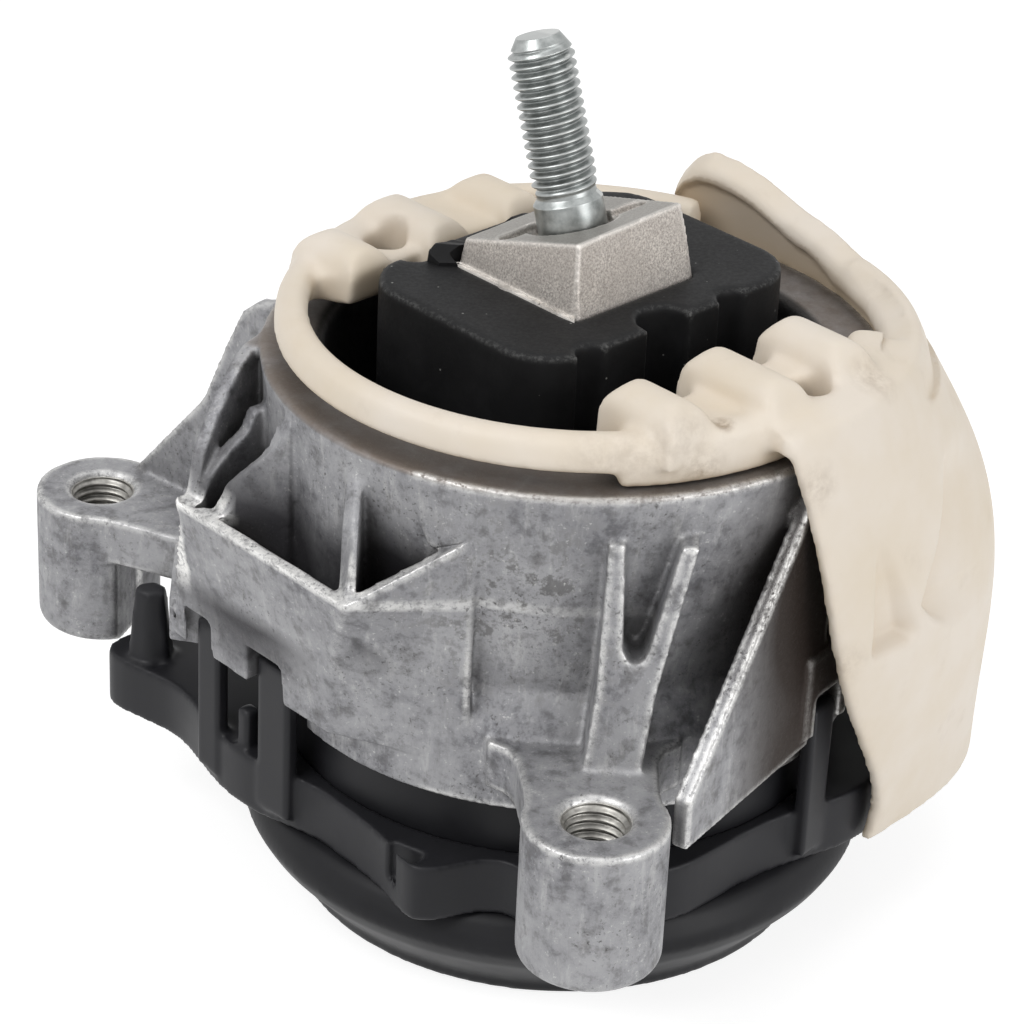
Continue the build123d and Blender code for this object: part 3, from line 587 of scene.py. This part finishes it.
def crest_line(turn, z):
    """Height of the highest point in each 3 degrees around the axis."""
    places = np.arange(-180, 181, 3)
    heights = np.full(len(places), -1e3)
    np.maximum.at(heights, np.round((turn + 180) / 3).astype(int), z)
    return places, heights


def shield_relief(points):
    """Presses the apron's wedge and creased dent and the ring's dimple into the shield.

    The hood's lip is rolled inward and its foot is drawn down to the flange.
    """
    x, y, z = (points / MM).T
    out, turn = np.hypot(x, y), np.degrees(np.arctan2(y, x))
    apron = step(out, 50.5, 53.0) * (1 - step(z, 80, 88))
    fall = np.clip((77 - z) / 19, 0, 1)
    right = -33.0 + 7.8 * fall
    wedge = 3.0 * fall * step(turn, -35.6, -33.6) * (1 - step(turn, right - 2.2, right + 0.6)) \
        * step(z, 55.6, 58.6)
    crease = np.interp(z, (52, 58, 61.8, 65.3, 70.6, 76, 84), (-14, -21.5, -24.6, -23.1, -20.0, -17.6, -14.5))
    past = turn - crease
    dent = 3.2 * step(past, -0.8, 2.0) * np.exp(-np.clip(past - 2.0, 0, 60) ** 2 / 90) * step(z, 54, 61) \
        * (1 - step(z, 74, 84))
    pressed = (wedge + dent) * apron
    scale = 1 - pressed / np.maximum(out, 1)
    dimple = 0.8 * np.exp(-((x - 20.4) ** 2 + (y + 37.3) ** 2) / 1.3 ** 2) * step(z, 95.5, 96.5)
    hood = step(out, 46.0, 46.6) * step(turn, -16, -10) * (1 - step(turn, 72, 76))
    crest = np.interp(turn, *crest_line(turn[out > 46], z[out > 46]))
    lip = step(z, crest - 4.6, crest - 3.2) * (1 - step(out, 48.2, 49.6)) * hood * step(crest, 93, 96)
    scale = scale - 1.5 * lip / np.maximum(out, 1)
    lowered = np.maximum(z - 1.9, 88.95)
    z = z + (np.minimum(lowered, z) - z) * hood * (1 - step(z, 90.8, 93.4))
    return np.stack([x * scale, y * scale, z - dimple], 1) * MM


class MOUNT_OT_shield(Operator):
    """Builds the cream heat shield"""
    bl_idname = "mount.shield"
    bl_label = "Heat shield"

    def execute(self, context):
        s = context.scene.mount_shield
        mesh = rebuilt("heat_shield", s.grain, s.rounding, s.most_faces, shield_relief)
        piece("heat_shield_moulding", mesh, cream_plastic(s), "shield_plastic", "heat_shield")
        return {"FINISHED"}


class MOUNT_OT_rubber(Operator):
    """Builds the rubber spring and colours the rubber inside"""
    bl_idname = "mount.rubber"
    bl_label = "Rubber"

    def execute(self, context):
        s = context.scene.mount_rubber
        mesh = rebuilt("rubber_spring", s.grain, s.rounding, s.most_faces)
        rubber = natural_rubber("Moulded rubber", s)
        piece("rubber_spring_block", mesh, rubber, "spring_rubber", "rubber_spring")
        first, last = 0.93, 2.35

        def top(run):
            ends = limited((run - first) * 8) * limited((last - run) * 6)
            return 0.5 + 2.0 * limited(ragged(run, 7, 2.2) + 0.45) * ends

        lip = foot_ribbon("lip", first, last, lambda run: 0.5 + 0.5 * ragged(run, 9, 3.3),
                          lambda run: 3.1 + 0.7 * ragged(run, 5, 8.4), top)
        piece("rubber_lip", lip, rubber, "spring_rubber")
        dress("decoupler_membrane", natural_rubber("Membrane rubber", s, 0.5))
        dress("bellows", natural_rubber("Bellows rubber", s, 0.5))
        return {"FINISHED"}


class MOUNT_OT_plastic(Operator):
    """Builds the black clip ring, cup and channel plates"""
    bl_idname = "mount.plastic"
    bl_label = "Ring and cup"

    def execute(self, context):
        s = context.scene.mount_plastic
        ring = rebuilt("clip_ring", s.grain, s.rounding, s.most_faces)
        nylon = black_nylon("Black nylon", s.ring, 0.42)
        piece("clip_ring_moulding", ring, nylon, "ring_plastic", "clip_ring")
        cup = rebuilt("lower_cup", s.grain * 1.3, s.rounding, s.most_faces)
        nylon = black_nylon("Cup nylon", s.cup, 0.46)
        piece("lower_cup_moulding", cup, nylon, "cup_plastic", "lower_cup")
        plates = black_nylon("Plate nylon", "#1E1E20", 0.5)
        dress("upper_channel_plate", plates)
        dress("lower_channel_plate", plates)
        return {"FINISHED"}


def limited(value):
    """The value, kept between 0 and 1."""
    return min(max(value, 0.0), 1.0)


def tube_mesh(name, radius_at, low, high, spacing, around, wall=None):
    """Rod along Z whose radius comes from radius_at(z, turn), or a tube when wall gives its outer radius."""
    count = int((high - low) / spacing)
    heights = [low + (high - low) * i / count for i in range(count + 1)]
    turns = [k / around for k in range(around)]
    points = [(radius_at(z, t) * cos(2 * pi * t), radius_at(z, t) * sin(2 * pi * t), z)
              for z in heights for t in turns]
    faces = []
    for i in range(count):
        low_row, high_row = i * around, (i + 1) * around
        for k in range(around):
            n = (k + 1) % around
            faces.append((low_row + k, low_row + n, high_row + n, high_row + k))
    if wall:
        foot, head = len(points), len(points) + around
        rim = count * around
        points += [(wall * cos(2 * pi * t), wall * sin(2 * pi * t), z) for z in (low, high) for t in turns]
        for k in range(around):
            n = (k + 1) % around
            faces += [(k, foot + k, foot + n, n), (foot + k, head + k, head + n, foot + n),
                      (rim + k, rim + n, head + n, head + k)]
        faces = [face[::-1] for face in faces]
    else:
        faces += [tuple(reversed(range(around))), tuple(range(count * around, (count + 1) * around))]
    mesh = bpy.data.meshes.new(name)
    mesh.from_pydata(points, [], faces)
    mesh.polygons.foreach_set("use_smooth", [len(face) == 4 for face in faces])
    return mesh


def thread_form(z, turn, pitch):
    """0 on the crest of a right-hand thread and 1 in its root."""
    ridge = abs((z / pitch - turn) % 1.0 - 0.5) * 2
    share = limited((ridge - 0.12) / 0.74)
    return share ** 1.15


def ribbon(name, sections):
    """Closed strip through sections of four points each, with caps at both ends."""
    points = [point for section in sections for point in section]
    faces = [(0, 1, 2, 3), tuple(len(points) - 1 - k for k in range(4))]
    for i in range(len(sections) - 1):
        for k in range(4):
            a, b = 4 * i + k, 4 * i + (k + 1) % 4
            faces.append((a, a + 4, b + 4, b))
    mesh = bpy.data.meshes.new(name)
    mesh.from_pydata(points, [], faces)
    return mesh


# Cell size, rounding passes and triangles of the core's mesh
CORE_GRAIN, CORE_ROUNDING, CORE_FACES = 0.3 * MM, 5, 120000
# Where the stud leaves the core's face, in mm, and the way it leans
STUD_FOOT = (-1.46, 5.0, 107.99)
STUD_LEAN = (-0.235, 0.185, 1.0)
# Foot of the core on the rubber: its middle in plan, half its side and the height it stands at, in mm
CORE_CENTRE = (-0.5, 6.0)
CORE_HALF = 12.75
RUBBER_TOP = 100.0


def foot_place(run, beyond, height):
    """Point beside the core's foot; run goes once round its sides, 0 to 4, from the front corner leftward."""
    side, share = int(run) % 4, run % 1.0
    reach = CORE_HALF + beyond
    a, b = [(-reach, reach - 2 * reach * share), (-reach + 2 * reach * share, -reach),
            (reach, -reach + 2 * reach * share), (reach - 2 * reach * share, reach)][side]
    x, y = CORE_CENTRE[0] + (a + b) * 0.7071, CORE_CENTRE[1] + (a - b) * 0.7071
    return (x * MM, y * MM, height * MM)


def ragged(run, pitch, seed):
    """Uneven value around 0 for a place along a strip."""
    return noise.noise(Vector((run * pitch, seed, 0.3 * seed)))


def foot_ribbon(name, first, last, inner, outer, top):
    """Ragged strip round the core's foot; inner, outer and top give mm for a place along it."""
    steps = int((last - first) * 120)
    sunk, draft = RUBBER_TOP - 0.4, 0.15
    sections = []
    for i in range(steps + 1):
        run = first + (last - first) * i / steps
        near_side, far_side, crest = inner(run), outer(run), RUBBER_TOP + top(run)
        sections.append([foot_place(run, near_side, sunk), foot_place(run, far_side, sunk),
                         foot_place(run, far_side - draft, crest), foot_place(run, near_side + draft, crest)])
    return ribbon(name, sections)


class MOUNT_OT_core(Operator):
    """Builds the core, the threaded stud and the steel sleeve's finish"""
    bl_idname = "mount.core"
    bl_label = "Core and stud"

    def execute(self, context):
        core = rebuilt("core", CORE_GRAIN, CORE_ROUNDING, CORE_FACES)
        piece("core_casting", core, core_aluminium(), "core_aluminium", "core")
        flash = foot_ribbon("flash", -0.98, 0.98, lambda run: -0.4,
                            lambda run: 0.25 + 1.1 * limited(ragged(run, 14, 1.7) + 0.25),
                            lambda run: 0.12 + 0.25 * limited(ragged(run, 40, 5.1) + 0.5))
        piece("core_flash", flash, core_aluminium(), "core_aluminium")
        s = context.scene.mount_stud
        shank, sunk, tip, chamfer = 5.3 * MM, 15.9 * MM, 3.3 * MM, 0.62
        neck = s.radius - 0.5 * s.depth

        def radius_at(z, turn):
            if z < s.collar:
                return shank - (shank - neck) * limited((z - s.collar + 0.9 * MM) / (0.9 * MM))
            start = limited((z - s.collar - 0.4 * MM) / (1.8 * MM))
            crest = s.radius - s.depth * thread_form(z, turn, s.pitch)
            return min(neck + (crest - neck) * start, tip + (s.length - z) * chamfer)

        rod = tube_mesh("thread", radius_at, -sunk, s.length, 0.1 * MM, 72)
        turn = Vector(STUD_LEAN).to_track_quat("Z", "Y").to_matrix().to_4x4()
        rod.transform(Matrix.Translation(Vector(STUD_FOOT) * MM) @ turn)
        piece("stud_threaded", rod, zinc_steel(s), "stud_steel", "stud")
        dress("outer_sleeve", plain_steel("Phosphated steel", "#4A4744", 0.5))
        dress("bellows_ring", plain_steel("Plain steel", "#7C7A78", 0.4))
        return {"FINISHED"}


def lamp(name, place, target, power, width, height):
    """Soft rectangular lamp that faces a point."""
    data = bpy.data.lights.new(name, "AREA")
    data.shape, data.size, data.size_y, data.energy = "RECTANGLE", width, height, power
    made = bpy.data.objects.new(name, data)
    made.location = place
    made.rotation_euler = (Vector(target) - Vector(place)).to_track_quat("-Z", "Y").to_euler()
    bpy.context.scene.collection.objects.link(made)


def seen_white(tree, shown, unseen):
    """Shader that the camera and gloss see as plain white and that lights the rest as unseen does."""
    rays = add(tree, "ShaderNodeLightPath").outputs
    seen = arithmetic(tree, "MAXIMUM", rays["Is Camera Ray"], rays["Is Glossy Ray"])
    seen = arithmetic(tree, "MAXIMUM", seen, rays["Is Transmission Ray"])
    return add(tree, "ShaderNodeMixShader", links={0: seen, 1: unseen, 2: shown}).outputs[0]


class MOUNT_OT_stage(Operator):
    """Builds the floor, the room light, the lamps and the camera"""
    bl_idname = "mount.stage"
    bl_label = "Stage"

    def execute(self, context):
        s = context.scene.mount_stage
        scene = context.scene
        scene.view_settings.view_transform = "Standard"
        mesh = bpy.data.meshes.new("floor")
        half = 3.0
        corners = [(-half, -half, 0), (half, -half, 0), (half, half, 0), (-half, half, 0)]
        mesh.from_pydata(corners, [], [(0, 1, 2, 3)])
        floor = bpy.data.objects.new("floor", mesh)
        floor.location.z = -0.2 * MM
        scene.collection.objects.link(floor)
        glow_strength, matt_grey = 0.80, 0.42
        material, tree, shader, place = new_material("White paper")
        shader.inputs["Base Color"].default_value = linear("#F4F4F4")
        shader.inputs["Roughness"].default_value = 0.9
        # The camera sees paper that glows a little, so that it is white and the shadow on it stays pale.
        glow = add(tree, "ShaderNodeEmission", {0: (1, 1, 1, 1), 1: glow_strength}).outputs[0]
        matt = add(tree, "ShaderNodeBsdfDiffuse", {0: (matt_grey, matt_grey, matt_grey, 1)}).outputs[0]
        paper = add(tree, "ShaderNodeAddShader", links={0: glow, 1: matt}).outputs[0]
        output = next(node for node in tree.nodes if node.type == "OUTPUT_MATERIAL")
        tree.links.new(seen_white(tree, paper, shader.outputs[0]), output.inputs[0])
        mesh.materials.append(material)
        world = bpy.data.worlds.new("Room")
        world.use_nodes = True
        scene.world = world
        tree = world.node_tree
        tree.nodes.clear()
        bright = add(tree, "ShaderNodeBackground", {0: (1, 1, 1, 1), 1: 1.0}).outputs[0]
        dim = add(tree, "ShaderNodeBackground", {0: (1, 1, 1, 1), 1: s.sky}).outputs[0]
        add(tree, "ShaderNodeOutputWorld", links={0: seen_white(tree, bright, dim)})
        middle = (0, 0, 0.06)
        lamp("Key", (-0.45, -0.35, 0.65), middle, s.key, 0.5, 0.4)
        lamp("Fill", (0.6, -0.45, 0.35), middle, s.fill, 0.4, 0.5)
        lamp("Top", (0.05, 0.15, 0.8), middle, s.top, 0.6, 0.5)
        camera = bpy.data.objects.new("Camera", bpy.data.cameras.new("Camera"))
        scene.collection.objects.link(camera)
        scene.camera = camera
        # The view was worked out from the round edges in the photograph.
        rise, roll, distance = radians(28.966), radians(2.705), 557.89 * MM
        focal_pixels, photo_pixels, sensor_mm = 3606.1, 1024, 36.0
        away = Vector((0, cos(rise), -sin(rise)))
        side = Vector((1, 0, 0))
        over = side.cross(away)
        right = side * cos(roll) + over * sin(roll)
        up = over * cos(roll) - side * sin(roll)
        target = Vector((-8.75, 0, 60.73)) * MM
        place = target - away * distance
        camera.matrix_world = Matrix((
            (right.x, up.x, -away.x, place.x), (right.y, up.y, -away.y, place.y),
            (right.z, up.z, -away.z, place.z), (0, 0, 0, 1)))
        camera.data.sensor_width = sensor_mm
        camera.data.lens = focal_pixels * sensor_mm / photo_pixels
        camera.data.clip_start = 0.01
        return {"FINISHED"}


class MOUNT_PT_panel(Panel):
    """Lists the pieces of the engine mount"""
    bl_idname = "MOUNT_PT_panel"
    bl_label = "Engine mount"
    bl_space_type = "VIEW_3D"
    bl_region_type = "UI"
    bl_category = "Engine mount"

    def draw(self, context):
        layout = self.layout
        for name in STEPS:
            layout.operator("mount." + name)
        for group in GROUPS:
            settings = getattr(context.scene, group)
            column = layout.column(align=True)
            for key in settings.__annotations__:
                column.prop(settings, key)


STEPS = ("housing", "shield", "rubber", "plastic", "core", "stage")
GROUPS = {"mount_casting": CastingSettings, "mount_shield": ShieldSettings, "mount_rubber": RubberSettings,
          "mount_plastic": PlasticSettings, "mount_stud": StudSettings, "mount_stage": StageSettings}
CLASSES = (*GROUPS.values(), MOUNT_OT_housing, MOUNT_OT_shield, MOUNT_OT_rubber, MOUNT_OT_plastic,
           MOUNT_OT_core, MOUNT_OT_stage, MOUNT_PT_panel)


def register():
    for item in CLASSES:
        bpy.utils.register_class(item)
    for name, group in GROUPS.items():
        setattr(bpy.types.Scene, name, PointerProperty(type=group))


def unregister():
    for name in GROUPS:
        delattr(bpy.types.Scene, name)
    for item in reversed(CLASSES):
        bpy.utils.unregister_class(item)


def main():
    register()
    for name in STEPS:
        getattr(bpy.ops.mount, name)()


if __name__ == "__main__":
    main()
